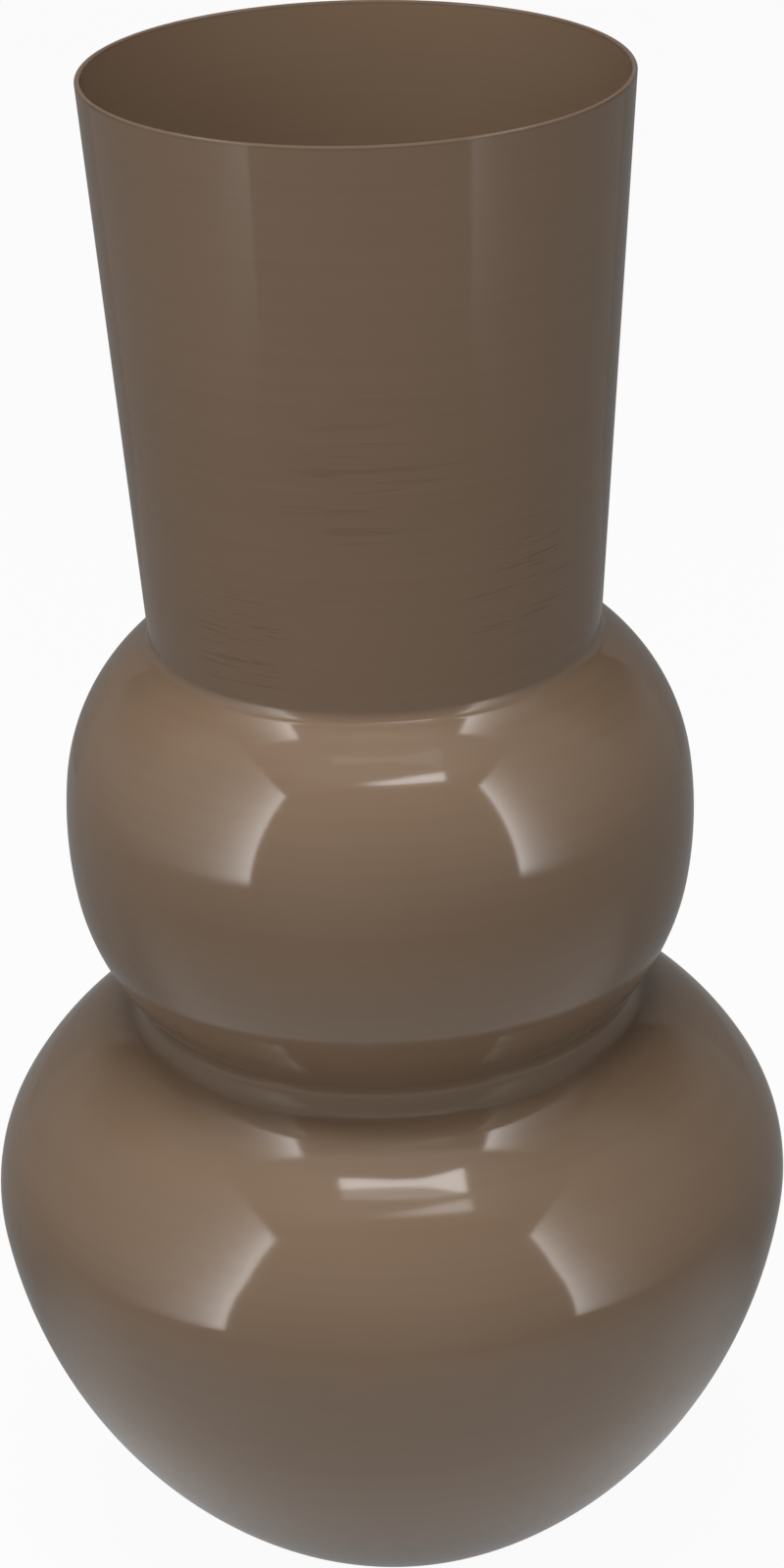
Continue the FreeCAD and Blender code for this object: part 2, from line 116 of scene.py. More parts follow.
class NodeBench:
    """Makes the nodes of one material or world."""

    def __init__(self, tree: bpy.types.NodeTree) -> None:
        """Clear the tree.

        Args:
            tree: the node tree to fill.
        """
        self.tree = tree
        tree.nodes.clear()

    def node(
        self,
        kind: str,
        settings: dict[str, object] | None = None,
        inputs: dict[str | int, Input] | None = None,
        output: str | int = 0,
    ) -> Socket:
        """Add one node.

        Args:
            kind: the node's type, without its ShaderNode prefix.
            settings: its own settings, which are set before its sockets.
            inputs: the value or link of each named or numbered socket.
            output: the output to hand back.

        Returns:
            The chosen output, which is empty where the node has none.
        """
        made = self.tree.nodes.new(f"ShaderNode{kind}")
        for name, value in (settings or {}).items():
            setattr(made, name, value)
        for key, value in (inputs or {}).items():
            socket = made.inputs[key]
            if isinstance(value, Socket):
                self.tree.links.new(value.output, socket)
            else:
                socket.default_value = value
        return Socket(self, made.outputs[output] if len(made.outputs) else None)

    def maths(self, operation: str, *values: Socket | float) -> Socket:
        """Add a Math node with its inputs in order."""
        return self.node("Math", {"operation": operation}, dict(enumerate(values)))

    def smooth(self, value: Socket, low: float, high: float) -> Socket:
        """A smooth step of a value from 0 at low to 1 at high.

        Args:
            value: what is stepped.
            low: where the step starts.
            high: where it ends, which may be less than low.

        Returns:
            The step, from 0 to 1.
        """
        span = {"Value": value, "From Min": min(low, high), "From Max": max(low, high)}
        step = self.node("MapRange", {"interpolation_type": "SMOOTHSTEP"}, span)
        return 1 - step if high < low else step

    def blend(self, factor: Socket | float, first: Socket | Colour, second: Socket | Colour) -> Socket:
        """Mix two colours.

        Args:
            factor: 0 for the first and 1 for the second.
            first: a colour or a link.
            second: a colour or a link.

        Returns:
            The mixed colour.
        """
        colours = [value if isinstance(value, Socket) else (*value, 1.0) for value in (first, second)]
        inputs = {"Factor": factor, 6: colours[0], 7: colours[1]}
        return self.node("Mix", {"data_type": "RGBA"}, inputs, 2)

    def place(self) -> Socket:
        """A point's place on the object, in metres, the same for every piece."""
        return self.node("TexCoord", output="Object")

    def axis(self, place: Socket, name: str) -> Socket:
        """One of a place's coordinates."""
        return self.node("SeparateXYZ", inputs={0: place}, output=name)

    def stretched(self, place: Socket, around: float, upward: float) -> Socket:
        """A place scaled so that its noise runs in rings round the axis."""
        scale = (around, around, upward)
        return self.node("VectorMath", {"operation": "MULTIPLY"}, {0: place, 1: scale})

    def grain(self, place: Socket, scale: float, detail: float = 2.0, rough: float = 0.5) -> Socket:
        """Noise from 0 to 1 about a half, with so many octaves and the finer ones so strong."""
        inputs = {"Vector": place, "Scale": scale, "Detail": detail, "Roughness": rough}
        return self.node("TexNoise", {"noise_dimensions": "3D"}, inputs)

    def bump(self, height: Socket, depth: float) -> Socket:
        """A normal that follows a height, whose unit is so many metres deep."""
        return self.node("Bump", inputs={"Strength": 1.0, "Distance": depth, "Height": height})

    def surface(self, shader: Socket) -> None:
        """Hand a shader to the material's output."""
        self.node("OutputMaterial", inputs={"Surface": shader})


def new_material(name: str) -> tuple[bpy.types.Material, NodeBench]:
    """Make an empty node material.

    Args:
        name: its name.

    Returns:
        The material and the bench for its nodes.
    """
    material = bpy.data.materials.new(name)
    material.use_nodes = True
    return material, NodeBench(material.node_tree)


# Finishes


@dataclass(frozen=True)
class Turned:
    """Noise drawn out into rings round the vase's axis: scales per metre."""

    around: float
    upward: float
    detail: float = 2.0
    rough: float = 0.5

    def on(self, bench: NodeBench, place: Socket) -> Socket:
        """The noise at a place."""
        return bench.grain(bench.stretched(place, self.around, self.upward), 1.0, self.detail, self.rough)


@dataclass(frozen=True)
class DarkStreakPatch:
    """One darker streaky patch of the lacquer, in metres, whose short streaks run along the turning lines."""

    spot: tuple[float, float, float]
    reach: float
    depth: float
    streaks: Turned = Turned(60.0, 1900.0, 3.0, 0.65)
    edges: tuple[float, float] = (0.56, 0.66)
    core_share: float = 0.4

    def mask(self, bench: NodeBench, place: Socket) -> Socket:
        """How much the patch darkens the lacquer at a place, from 0 to depth.

        Args:
            bench: the bench of the lacquer's material.
            place: the place.

        Returns:
            The wear.
        """
        streaks = bench.smooth(self.streaks.on(bench, place), *self.edges)
        away = bench.node("VectorMath", {"operation": "DISTANCE"}, {0: place, 1: self.spot}, "Value")
        return streaks * bench.smooth(away, self.reach, self.reach * self.core_share) * self.depth


@dataclass(frozen=True)
class Lacquer:
    """Glossy taupe lacquer over spun sheet, whose turning lines show through: lengths in metres."""

    tone: Colour = (0.147, 0.098, 0.063)
    light_tone: Colour = (0.158, 0.106, 0.070)
    streak_tone: Colour = (0.085, 0.052, 0.033)
    # Painted shade: the rim's top edge takes a darker colour, which holds back the top light that falls on it
    rim_painted_shade_tone: Colour = (0.095, 0.063, 0.041)
    rim_painted_shade_edge: tuple[float, float] = (0.3788, 0.3794)
    dark_streak_patches: tuple[DarkStreakPatch, ...] = (
        DarkStreakPatch((-0.031, -0.045, 0.259), 0.018, 0.55),
        DarkStreakPatch((0.034, -0.045, 0.272), 0.022, 0.55),
        DarkStreakPatch((0.001, -0.057, 0.302), 0.026, 0.26, Turned(30.0, 470.0, 3.0, 0.65)),
    )
    fine: Turned = Turned(5.0, 620.0, 2.0, 0.6)
    ripple: Turned = Turned(26.0, 250.0, 1.5)
    cloud_scale: float = 14.0
    tint_shares: tuple[float, float] = (0.6, 0.4)
    tint_edges: tuple[float, float] = (0.32, 0.70)
    relief_shares: tuple[float, float, float] = (0.45, 0.9, 5.0)
    relief_depth: float = 0.000011
    gloss: float = 0.085
    gloss_spread: float = 0.04
    root_dullness: float = 0.13
    roots: tuple[tuple[float, float, float], ...] = ((0.2460, 0.0035, 0.0010), (0.1502, 0.0058, 0.0042))

    def build(self) -> bpy.types.Material:
        """Make the material.

        Returns:
            The lacquer.
        """
        material, bench = new_material("taupe_lacquer")
        place = bench.place()
        height = bench.axis(place, "Z")
        fine = self.fine.on(bench, place)
        ripple = self.ripple.on(bench, place)
        clouds = bench.grain(place, self.cloud_scale, detail=3.0, rough=0.55)
        tint = bench.smooth(clouds * self.tint_shares[0] + fine * self.tint_shares[1], *self.tint_edges)
        body = bench.blend(tint, self.tone, self.light_tone)
        # Darker streaky patches on the neck's front
        for dark_patch in self.dark_streak_patches:
            body = bench.blend(dark_patch.mask(bench, place), body, self.streak_tone)
        # Painted shade: the rim's top edge is darkened
        body = bench.blend(bench.smooth(height, *self.rim_painted_shade_edge), body, self.rim_painted_shade_tone)
        rough = self.gloss + (fine - 0.5) * self.gloss_spread + (clouds - 0.5) * self.gloss_spread
        for middle, outer, inner in self.roots:
            near = bench.smooth(bench.maths("ABSOLUTE", height - middle), outer, inner)
            rough = rough + near * self.root_dullness
        lines, waves, swells = self.relief_shares
        bump = bench.bump(fine * lines + ripple * waves + clouds * swells, self.relief_depth)
        inputs = {"Base Color": body, "Roughness": rough, "IOR": 1.5, "Normal": bump}
        bench.surface(bench.node("BsdfPrincipled", inputs=inputs))
        return material


@dataclass(frozen=True)
class Solder:
    """Dull grey soft solder, drawn into a lap and left as it set."""

    tone: Colour = (0.42, 0.41, 0.39)
    dark_tone: Colour = (0.24, 0.235, 0.225)
    skin_scale: float = 900.0
    patch_scale: float = 120.0
    patch_edges: tuple[float, float] = (0.40, 0.66)
    relief_depth: float = 0.00008
    dullness: float = 0.42
    dullness_spread: float = 0.3

    def build(self) -> bpy.types.Material:
        """Make the material.

        Returns:
            The solder.
        """
        material, bench = new_material("grey_solder")
        place = bench.place()
        skin = bench.grain(place, self.skin_scale, detail=4.0, rough=0.6)
        patches = bench.grain(place, self.patch_scale)
        body = bench.blend(bench.smooth(patches, *self.patch_edges), self.tone, self.dark_tone)
        rough = self.dullness + (skin - 0.5) * self.dullness_spread
        bump = bench.bump(skin + patches, self.relief_depth)
        inputs = {"Base Color": body, "Metallic": 1.0, "Roughness": rough, "Normal": bump}
        bench.surface(bench.node("BsdfPrincipled", inputs=inputs))
        return material


@dataclass(frozen=True)
class Felt:
    """Pressed dark brown felt with a flecked, matted surface."""

    tone: Colour = (0.050, 0.040, 0.035)
    fleck_tone: Colour = (0.105, 0.088, 0.074)
    bend_scale: float = 700.0
    strand_scale: float = 1600.0
    strand_stretch: float = 2.2
    fleck_scale: float = 2600.0
    fleck_edges: tuple[float, float] = (0.55, 0.72)
    tint_shares: tuple[float, float] = (0.6, 0.3)
    relief_depth: float = 0.00025
    dullness: float = 0.88
    dullness_spread: float = 0.1

    def build(self) -> bpy.types.Material:
        """Make the material.

        Returns:
            The felt.
        """
        material, bench = new_material("brown_felt")
        place = bench.place()
        bend = bench.node("TexNoise", inputs={"Vector": place, "Scale": self.bend_scale}, output="Color")
        bent = bench.node("VectorMath", {"operation": "ADD"}, {0: place, 1: bend})
        drawn = bench.stretched(bent, 1.0, self.strand_stretch)
        strands = bench.grain(drawn, self.strand_scale, detail=5.0, rough=0.7)
        flecks = bench.smooth(bench.grain(place, self.fleck_scale), *self.fleck_edges)
        tint = flecks * self.tint_shares[0] + strands * self.tint_shares[1]
        inputs = {
            "Base Color": bench.blend(tint, self.tone, self.fleck_tone),
            "Roughness": self.dullness + strands * self.dullness_spread,
            "Sheen Weight": 0.5,
            "Sheen Roughness": 0.6,
            "Sheen Tint": (0.6, 0.55, 0.5, 1.0),
            "Normal": bench.bump(strands, self.relief_depth),
        }
        bench.surface(bench.node("BsdfPrincipled", inputs=inputs))
        return material


@dataclass(frozen=True)
class Finishes:
    """Every finish on the vase."""

    lacquer: bpy.types.Material
    solder: bpy.types.Material
    felt: bpy.types.Material

    @classmethod
    def make(cls) -> Finishes:
        """Make each finish once."""
        return cls(Lacquer().build(), Solder().build(), Felt().build())


# Outlines and turning


@dataclass(frozen=True)
class Arc:
    """An arc of an outline: its centre and its radius, in millimetres."""

    across: float
    height: float
    radius: float

    def at(self, angle: float, inset: float = 0.0) -> Point:
        """The point at an angle above the horizontal, or inset from there."""
        radius = self.radius - inset
        return self.across + radius * math.cos(angle), self.height + radius * math.sin(angle)

    def above(self, across: float, inset: float = 0.0, sign: int = 1) -> Point:
        """The point at a distance from the axis: on the upper half, or on the lower one for a sign of -1."""
        radius = self.radius - inset
        return across, self.height + sign * math.sqrt(radius**2 - (across - self.across) ** 2)

    def facing(self, target: Arc, inset: float = 0.0) -> Point:
        """The point that faces another arc's centre, or inset from there."""
        return self.at(math.atan2(target.height - self.height, target.across - self.across), inset)

    def tangent(self, radius: float, angle: float) -> Arc:
        """The arc of another radius that carries this one on from an angle."""
        return Arc(*self.at(angle, radius), radius)


@dataclass
class Outline:
    """A closed outline of lines and arcs, each sampled with its own directions."""

    start: Point
    line_step: float = 6.0
    arc_step: float = 1.4
    arc_turn: float = math.radians(3)
    runs: list[list[tuple[Point, Point]]] = field(default_factory=list)

    def last(self) -> Point:
        """Where the outline has come to."""
        return self.runs[-1][-1][0] if self.runs else self.start

    def line(self, *ends: Point) -> Outline:
        """Add straight runs.

        Args:
            ends: the end of each.

        Returns:
            This outline.
        """
        for end in ends:
            begin = self.last()
            reach = math.dist(begin, end)
            course = ((end[0] - begin[0]) / reach, (end[1] - begin[1]) / reach)
            count = max(1, math.ceil(reach / self.line_step))
            run = []
            for index in range(count + 1):
                gone = reach * (index / count)
                run.append(((begin[0] + course[0] * gone, begin[1] + course[1] * gone), course))
            self.runs.append(run)
        return self

    def arc(self, centre: Arc, end: Point) -> Outline:
        """Add the shorter arc about a centre.

        Args:
            centre: the arc that gives the centre.
            end: where the run ends.

        Returns:
            This outline.
        """
        begin = self.last()
        radius = math.dist(begin, (centre.across, centre.height))
        first = math.atan2(begin[1] - centre.height, begin[0] - centre.across)
        turn = math.atan2(end[1] - centre.height, end[0] - centre.across) - first
        turn = (turn + math.pi) % FULL_TURN - math.pi
        count = max(2, math.ceil(abs(turn) * radius / self.arc_step), math.ceil(abs(turn) / self.arc_turn))
        sign = math.copysign(1.0, turn)
        run = []
        for index in range(count + 1):
            angle = first + turn * index / count
            place = (centre.across + radius * math.cos(angle), centre.height + radius * math.sin(angle))
            run.append((place, (-sign * math.sin(angle), sign * math.cos(angle))))
        self.runs.append(run)
        return self

    def anticlockwise(self) -> bool:
        """Tell which way round the outline goes.

        Returns:
            Whether it has its metal on the left.
        """
        places = [place for run in self.runs for place, _ in run]
        area = sum(a[0] * b[1] - b[0] * a[1] for a, b in zip(places, places[1:] + places[:1]))
        return area > 0


def add_mesh(name: str, vertices: Sequence, faces: Sequence, smooth: bool = True) -> bpy.types.Object:
    """Add a mesh to the scene.

    Args:
        name: its name.
        vertices: its points, in metres.
        faces: the points of each face.
        smooth: whether its faces are shaded as one surface.

    Returns:
        The mesh's object.
    """
    mesh = bpy.data.meshes.new(name)
    mesh.from_pydata(vertices, [], faces)
    mesh.polygons.foreach_set("use_smooth", [smooth] * len(faces))
    piece = bpy.data.objects.new(name, mesh)
    bpy.context.collection.objects.link(piece)
    return piece


@dataclass(frozen=True)
class Lathe:
    """Turns a closed outline round the vase's axis."""

    segments: int = 256

    def turn(self, name: str, outline: Outline) -> bpy.types.Object:
        """Make a closed mesh whose normals follow the outline's own curves.

        Args:
            name: the piece's name.
            outline: its outline, across and up in millimetres.

        Returns:
            The piece, in metres, with its place in its mesh.
        """
        side = 1.0 if outline.anticlockwise() else -1.0
        vertices: list[Vector] = []
        faces: list[tuple[int, ...]] = []
        normals: list[Vector] = []
        angles = [FULL_TURN * index / self.segments for index in range(self.segments)]
        facings = [Vector((math.cos(angle), math.sin(angle), 0.0)) for angle in angles]

        def ring(place: Point) -> list[int]:
            """Add the ring of vertices at a place, or one vertex on the axis.

            Args:
                place: the place, across and up in millimetres.

            Returns:
                The vertices' numbers, once for each segment.
            """
            across, height = place
            first = len(vertices)
            if abs(across) < ON_AXIS:
                vertices.append(Vector((0.0, 0.0, height * MM)))
                return [first] * self.segments
            vertices.extend(way * (across * MM) + Vector((0.0, 0.0, height * MM)) for way in facings)
            return list(range(first, first + self.segments))

        opening = ring(outline.start)
        before = opening
        for number, run in enumerate(outline.runs):
            for index, ((begin, course), (end, onward)) in enumerate(zip(run, run[1:])):
                closes = number == len(outline.runs) - 1 and index == len(run) - 2
                after = opening if closes else ring(end)
                if len(set(before)) > 1 or len(set(after)) > 1:
                    ways = [(side * c[1], -side * c[0]) for c in (course, onward)]
                    for turn in range(self.segments):
                        following = (turn + 1) % self.segments
                        corners = [
                            (before[turn], facings[turn], ways[0]),
                            (before[following], facings[following], ways[0]),
                            (after[following], facings[following], ways[1]),
                            (after[turn], facings[turn], ways[1]),
                        ]
                        if side < 0:
                            corners.reverse()
                        kept = [c for n, c in enumerate(corners) if c[0] != corners[n - 1][0]]
                        faces.append(tuple(c[0] for c in kept))
                        normals.extend(c[1] * c[2][0] + Vector((0.0, 0.0, c[2][1])) for c in kept)
                before = after
        piece = add_mesh(name, vertices, faces)
        piece.data.normals_split_custom_set(normals)
        piece.data.update()
        return piece


def dress(piece: bpy.types.Object, node: str, material: bpy.types.Material) -> None:
    """Give a piece its finish, and say which CAD node it stands for.

    Args:
        piece: the piece.
        node: the CAD node that it replaces.
        material: the finish.
    """
    piece.data.materials.clear()
    piece.data.materials.append(material)
    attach(piece, BODY)
    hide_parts(node)
    LOG.info("%s stands for %s", piece.name, node)


# The vase


@dataclass(frozen=True)
class Sheet:
    """The sheet metal that every shell is spun from, and how two shells lap."""

    wall: float = 1.3
    gap: float = 0.1
    film: float = 0.003
    lap: float = 5.0
    joggle: float = 3.0

    @property
    def lap_outside(self) -> float:
        """How far inside the surface a lap's outer face lies."""
        return self.wall + self.gap

    @property
    def lap_inside(self) -> float:
        """How far inside the surface a lap's inner face lies."""
        return 2 * self.wall + self.gap


@dataclass
class Bulb:
    """One bulb's outside: a side arc at its widest line, a shoulder above it and an underside below."""

    sheet: Sheet
    side: Arc
    rise: float
    fall: float
    shoulder: Arc
    underside: Arc

    @classmethod
    def shaped(
        cls,
        sheet: Sheet,
        radius: float,
        widest: float,
        side: float,
        rise: float,
        fall: float,
        shoulder: float,
        underside: float,
    ) -> Bulb:
        """Join the three arcs where their tangents agree.

        Args:
            sheet: the sheet that it is spun from.
            radius: its widest line's radius.
            widest: that line's height.
            side: the side arc's radius.
            rise: the side arc's turn above the widest line, in radians.
            fall: its turn below it.
            shoulder: the shoulder arc's radius.
            underside: the underside arc's radius.

        Returns:
            The bulb.
        """
        middle = Arc(radius - side, widest, side)
        crown, base = middle.tangent(shoulder, rise), middle.tangent(underside, -fall)
        return cls(sheet, middle, rise, fall, crown, base)

    def shoulder_start(self) -> Outline:
        """The outside from the widest line up to the end of the side arc."""
        return Outline(self.side.at(0.0)).arc(self.side, self.side.at(self.rise))

    def lap(self, outline: Outline) -> Outline:
        """Carry a shoulder's inside down to its widest line and round its joggled lap.

        Args:
            outline: the shoulder's outline, come to the end of the side arc's inside.

        Returns:
            The outline, closed.
        """
        wall, outside, inside = self.sheet.wall, self.sheet.lap_outside, self.sheet.lap_inside
        step = self.sheet.joggle / self.side.radius
        end = -self.sheet.lap / self.side.radius
        outline.arc(self.side, self.side.at(2 * step, wall))
        outline.line(self.side.at(step, inside))
        outline.arc(self.side, self.side.at(end, inside))
        outline.line(self.side.at(end, outside))
        outline.arc(self.side, self.side.at(0.0, outside))
        return outline.line(self.side.at(0.0))


@dataclass
class Vase:
    """The whole vase: its sizes in millimetres and radians, and the shells that are turned from them."""

    finishes: Finishes
    sheet: Sheet = Sheet()
    lathe: Lathe = Lathe()
    pad_height: float = 1.5
    lower_radius: float = 98.8
    lower_side: float = 42.0
    lower_rise: float = math.radians(30)
    lower_fall: float = math.radians(8)
    lower_crown: float = math.radians(68.1)
    lower_lift: float = 95.0
    bottom_radius: float = 39.2
    bottom_corner: float = 5.0
    waist_radius: float = 57.6
    waist_collar: float = 6.0
    waist_seat: float = 0.6
    waist_fillet: float = 5.5
    upper_radius: float = 76.0
    upper_side: float = 100.0
    upper_rise: float = math.radians(7)
    upper_fall: float = math.radians(9)
    upper_crown: float = math.radians(55.7)
    upper_base: float = math.radians(47.4)
    neck_radius: float = 53.8
    neck_length: float = 136.0
    neck_fillet: float = 3.6
    neck_collar: float = 8.294
    rim_radius: float = 63.0

    def __post_init__(self) -> None:
        """Work out the arcs of both bulbs, the joints between them, and the neck's lean."""
        self.seat = self.waist_radius + self.sheet.gap
        self.corner = Arc(self.bottom_radius, self.pad_height + self.bottom_corner, self.bottom_corner)
        self.lower = self.lower_bulb()
        self.seat_height = self.lower.shoulder.at(self.lower_crown)[1]
        self.upper = self.upper_bulb()
        self.neck_foot = self.upper.shoulder.at(self.upper_crown)[1]
        self.rim = self.neck_foot + self.neck_length
        lean = (self.rim_radius - self.neck_radius) / (self.neck_length - self.sheet.wall / 2)
        self.lean = math.atan(lean)
        self.neck_hollow, self.climb = self.neck_root()
        self.seam = self.climb + self.neck_collar
        self.waist_hollow = self.waist_root()

    def side_end(self, radius: float, side: float, turn: float) -> float:
        """How far from the axis a side arc ends after its turn from the widest line."""
        return radius - side * (1 - math.cos(turn))

    def lower_bulb(self) -> Bulb:
        """The lower bulb, whose bowl runs into the corner round the flat bottom.

        Returns:
            The bulb.
        """
        rise, fall = self.lower_rise, self.lower_fall
        top = self.side_end(self.lower_radius, self.lower_side, rise) - self.seat
        top /= math.cos(rise) - math.cos(self.lower_crown)
        far = self.side_end(self.lower_radius, self.lower_side, fall) - self.corner.across
        high = self.lower_lift - self.lower_side * math.sin(fall) - self.bottom_corner
        bowl = far**2 + high**2 - self.bottom_corner**2
        bowl /= 2 * (far * math.cos(fall) - high * math.sin(fall) - self.bottom_corner)
        widest = self.pad_height + self.lower_lift
        return Bulb.shaped(self.sheet, self.lower_radius, widest, self.lower_side, rise, fall, top, bowl)

    def upper_bulb(self) -> Bulb:
        """The upper bulb, seated on the lower one.

        Returns:
            The bulb.
        """
        rise, fall, base = self.upper_rise, self.upper_fall, self.upper_base
        top = self.side_end(self.upper_radius, self.upper_side, rise) - self.neck_radius
        top /= math.cos(rise) - math.cos(self.upper_crown)
        under = self.side_end(self.upper_radius, self.upper_side, fall) - self.seat
        under /= math.cos(fall) - math.cos(base)
        widest = self.seat_height + self.waist_seat + under * math.sin(base)
        widest += (self.upper_side - under) * math.sin(fall)
        return Bulb.shaped(self.sheet, self.upper_radius, widest, self.upper_side, rise, fall, top, under)

    def neck_root(self) -> tuple[Arc, float]:
        """The hollow at the root of the upper bulb's collar.

        Returns:
            The hollow's arc, and how far up the neck's side it ends.
        """
        top = self.upper.shoulder
        across = self.neck_radius + self.neck_fillet * math.cos(self.lean) - top.across
        height = self.neck_foot - self.neck_fillet * math.sin(self.lean) - top.height
        along = across * math.sin(self.lean) + height * math.cos(self.lean)
        reach = top.radius + self.neck_fillet
        climb = math.sqrt(along**2 - across**2 - height**2 + reach**2) - along
        centre = (
            top.across + across + climb * math.sin(self.lean),
            top.height + height + climb * math.cos(self.lean),
        )
        return Arc(*centre, self.neck_fillet), climb

    def waist_root(self) -> Arc:
        """The hollow between the two bulbs, which rolls on both.

        Returns:
            The hollow's arc.
        """
        low, high = self.lower.shoulder, self.upper.underside
        across, upward = high.across - low.across, high.height - low.height
        apart = math.hypot(across, upward)
        low_reach, high_reach = low.radius + self.waist_fillet, high.radius + self.waist_fillet
        foot = (low_reach**2 - high_reach**2 + apart**2) / (2 * apart)
        stand = math.sqrt(low_reach**2 - foot**2)
        return Arc(
            low.across + (foot * across + stand * upward) / apart,
            low.height + (foot * upward - stand * across) / apart,
            self.waist_fillet,
        )

    def on_neck(self, along: float, inset: float = 0.0) -> Point:
        """A point at a distance up the neck's side, and inset from it."""
        sine, cosine = math.sin(self.lean), math.cos(self.lean)
        return (
            self.neck_radius + along * sine - inset * cosine,
            self.neck_foot + along * cosine + inset * sine,
        )

    def neck(self) -> Outline:
        """The tapered tube with its rounded rim, and the lap at its foot.

        Returns:
            Its outline.
        """
        sheet = self.sheet
        shoulder = self.rim - sheet.wall / 2
        bead = Arc(self.rim_radius - sheet.wall / 2, shoulder, sheet.wall / 2)
        lap, step = self.seam - sheet.lap, self.seam + sheet.joggle
        outline = Outline(self.on_neck(self.seam))
        outline.line((self.rim_radius, shoulder))
        outline.arc(bead, (bead.across, self.rim))
        outline.arc(bead, (self.rim_radius - sheet.wall, shoulder))
        outline.line(
            self.on_neck(step + sheet.joggle, sheet.wall),
            self.on_neck(step, sheet.lap_inside),
            self.on_neck(lap, sheet.lap_inside),
            self.on_neck(lap, sheet.lap_outside),
            self.on_neck(self.seam, sheet.lap_outside),
            self.on_neck(self.seam),
        )
        return outline

    def upper_shoulder(self) -> Outline:
        """The upper bulb's upper half, with the collar turned up for the neck.

        Returns:
            Its outline.
        """
        bulb, wall, hollow = self.upper, self.sheet.wall, self.neck_hollow
        outline = bulb.shoulder_start()
        outline.arc(bulb.shoulder, bulb.shoulder.facing(hollow))
        outline.arc(hollow, self.on_neck(self.climb))
        outline.line(self.on_neck(self.seam), self.on_neck(self.seam, wall), self.on_neck(self.climb, wall))
        outline.arc(hollow, bulb.shoulder.facing(hollow, wall))
        outline.arc(bulb.shoulder, bulb.side.at(bulb.rise, wall))
        return bulb.lap(outline)

    def upper_underside(self) -> Outline:
        """The upper bulb's lower half, open at the waist.

        Returns:
            Its outline.
        """
        bulb, wall = self.upper, self.sheet.wall
        outline = Outline(bulb.side.at(0.0)).arc(bulb.side, bulb.side.at(-bulb.fall))
        outline.arc(bulb.underside, bulb.underside.above(self.seat, 0.0, -1))
        outline.line(bulb.underside.above(self.seat, wall, -1))
        outline.arc(bulb.underside, bulb.side.at(-bulb.fall, wall))
        outline.arc(bulb.side, bulb.side.at(0.0, wall))
        return outline.line(bulb.side.at(0.0))

    def waist(self) -> Outline:
        """The hollow fillet of filler between the bulbs.

        Returns:
            Its outline.
        """
        low, high, film = self.lower.shoulder, self.upper.underside, -self.sheet.film
        outline = Outline(low.above(self.seat, film))
        outline.line(high.above(self.seat, film, -1))
        outline.arc(high, high.facing(self.waist_hollow, film))
        outline.arc(self.waist_hollow, low.facing(self.waist_hollow, film))
        return outline.arc(low, low.above(self.seat, film))

    def lower_shoulder(self) -> Outline:
        """The lower bulb's upper half, with the collar turned up inside the upper bulb.

        Returns:
            Its outline.
        """
        bulb, wall = self.lower, self.sheet.wall
        bore = self.waist_radius - wall
        root = bulb.shoulder.above(self.waist_radius)
        lip = root[1] + self.waist_collar
        outline = bulb.shoulder_start().arc(bulb.shoulder, root)
        outline.line((self.waist_radius, lip), (bore, lip), bulb.shoulder.above(bore, wall))
        outline.arc(bulb.shoulder, bulb.side.at(bulb.rise, wall))
        return bulb.lap(outline)

    def lower_bowl(self) -> Outline:
        """The lower bulb's lower half, spun in one with its flat bottom.

        Returns:
            Its outline.
        """
        bulb, wall, corner = self.lower, self.sheet.wall, self.corner
        floor = self.pad_height
        outline = Outline(bulb.side.at(0.0)).arc(bulb.side, bulb.side.at(-bulb.fall))
        outline.arc(bulb.underside, bulb.underside.facing(corner))
        outline.arc(corner, (corner.across, floor))
        outline.line((0.0, floor), (0.0, floor + wall), (corner.across, floor + wall))
        outline.arc(corner, bulb.underside.facing(corner, wall))
        outline.arc(bulb.underside, bulb.side.at(-bulb.fall, wall))
        outline.arc(bulb.side, bulb.side.at(0.0, wall))
        return outline.line(bulb.side.at(0.0))

    def build(self) -> dict[Zone, bpy.types.Collection]:
        """Turn each shell, and dress it over its CAD node.

        Returns:
            Each form's shells, for the lights that only they see.
        """
        zones = {zone: bpy.data.collections.new(f"{zone.value}_shells") for zone in Zone}
        shells = (
            ("neck", Zone.NECK, self.neck()),
            ("upper_bulb_shoulder", Zone.UPPER, self.upper_shoulder()),
            ("upper_bulb_underside", Zone.UPPER, self.upper_underside()),
            ("waist_braze", Zone.NECK, self.waist()),
            ("lower_bulb_shoulder", Zone.LOWER, self.lower_shoulder()),
            ("lower_bulb_bowl", Zone.LOWER, self.lower_bowl()),
        )
        for node, zone, outline in shells:
            piece = self.lathe.turn(f"{node}_turned", outline)
            dress(piece, node, self.finishes.lacquer)
            zones[zone].objects.link(piece)
        for node in ("neck_seam_solder", "upper_seam_solder", "lower_seam_solder"):
            keep_node(node, self.finishes.solder)
        return zones


def keep_node(node: str, material: bpy.types.Material) -> None:
    """Give a CAD node that stays as it is its finish.

    Args:
        node: the node's name.
        material: the finish.
    """
    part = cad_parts[node]
    for place in part.material_slots:
        place.material = material
    LOG.info("%s keeps its CAD shape", node)


